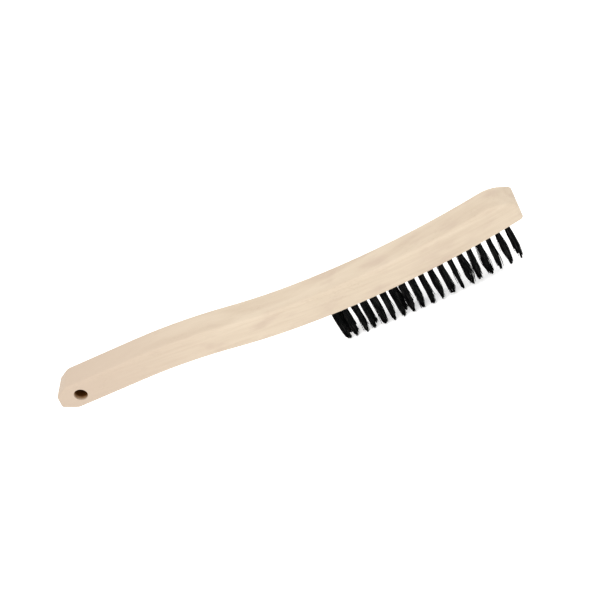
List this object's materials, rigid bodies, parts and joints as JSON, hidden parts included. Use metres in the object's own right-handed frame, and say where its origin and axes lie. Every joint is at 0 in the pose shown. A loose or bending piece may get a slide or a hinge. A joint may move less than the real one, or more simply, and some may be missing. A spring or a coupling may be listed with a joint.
{
  "type": "wire scratch brush",
  "caption": "Hand scratch brush for cleaning welds: a bent one-piece wooden handle and block with rows of stiff steel wire tufts set along the block's curved underside.",
  "frame": {"origin": "on the hang hole's axis, at mid width of the handle", "axes": "+X along the handle towards the nose of the block, +Y across the width along the hang hole, +Z from the bristles to the back"},
  "size_m": [0.3524, 0.0248, 0.0631],
  "materials": {
    "wood": "pale beech, sanded smooth and left unvarnished",
    "bristle_wire": "dark oil-tempered carbon steel wire",
    "staple_steel": "plain steel wire"
  },
  "bodies": {
    "root": {"wood_handle": "wood", "tuft_staples": "staple_steel", "tuft_r01_c1": "bristle_wire", "tuft_r01_c2": "bristle_wire", "tuft_r01_c3": "bristle_wire", "tuft_r02_c1": "bristle_wire", "tuft_r02_c2": "bristle_wire", "tuft_r02_c3": "bristle_wire", "tuft_r03_c1": "bristle_wire", "tuft_r03_c2": "bristle_wire", "tuft_r03_c3": "bristle_wire", "tuft_r04_c1": "bristle_wire", "tuft_r04_c2": "bristle_wire", "tuft_r04_c3": "bristle_wire", "tuft_r05_c1": "bristle_wire", "tuft_r05_c2": "bristle_wire", "tuft_r05_c3": "bristle_wire", "tuft_r06_c1": "bristle_wire", "tuft_r06_c2": "bristle_wire", "tuft_r06_c3": "bristle_wire", "tuft_r07_c1": "bristle_wire", "tuft_r07_c2": "bristle_wire", "tuft_r07_c3": "bristle_wire", "tuft_r08_c1": "bristle_wire", "tuft_r08_c2": "bristle_wire", "tuft_r08_c3": "bristle_wire", "tuft_r09_c1": "bristle_wire", "tuft_r09_c2": "bristle_wire", "tuft_r09_c3": "bristle_wire", "tuft_r10_c1": "bristle_wire", "tuft_r10_c2": "bristle_wire", "tuft_r10_c3": "bristle_wire", "tuft_r11_c1": "bristle_wire", "tuft_r11_c2": "bristle_wire", "tuft_r11_c3": "bristle_wire", "tuft_r12_c1": "bristle_wire", "tuft_r12_c2": "bristle_wire", "tuft_r12_c3": "bristle_wire", "tuft_r13_c1": "bristle_wire", "tuft_r13_c2": "bristle_wire", "tuft_r13_c3": "bristle_wire", "tuft_r14_c1": "bristle_wire", "tuft_r14_c2": "bristle_wire", "tuft_r14_c3": "bristle_wire", "tuft_r15_c1": "bristle_wire", "tuft_r15_c2": "bristle_wire", "tuft_r15_c3": "bristle_wire", "tuft_r16_c1": "bristle_wire", "tuft_r16_c2": "bristle_wire", "tuft_r16_c3": "bristle_wire", "tuft_r17_c1": "bristle_wire", "tuft_r17_c2": "bristle_wire", "tuft_r17_c3": "bristle_wire", "tuft_r18_c1": "bristle_wire", "tuft_r18_c2": "bristle_wire", "tuft_r18_c3": "bristle_wire", "tuft_r19_c1": "bristle_wire", "tuft_r19_c2": "bristle_wire", "tuft_r19_c3": "bristle_wire"}
  },
  "joints": []
}
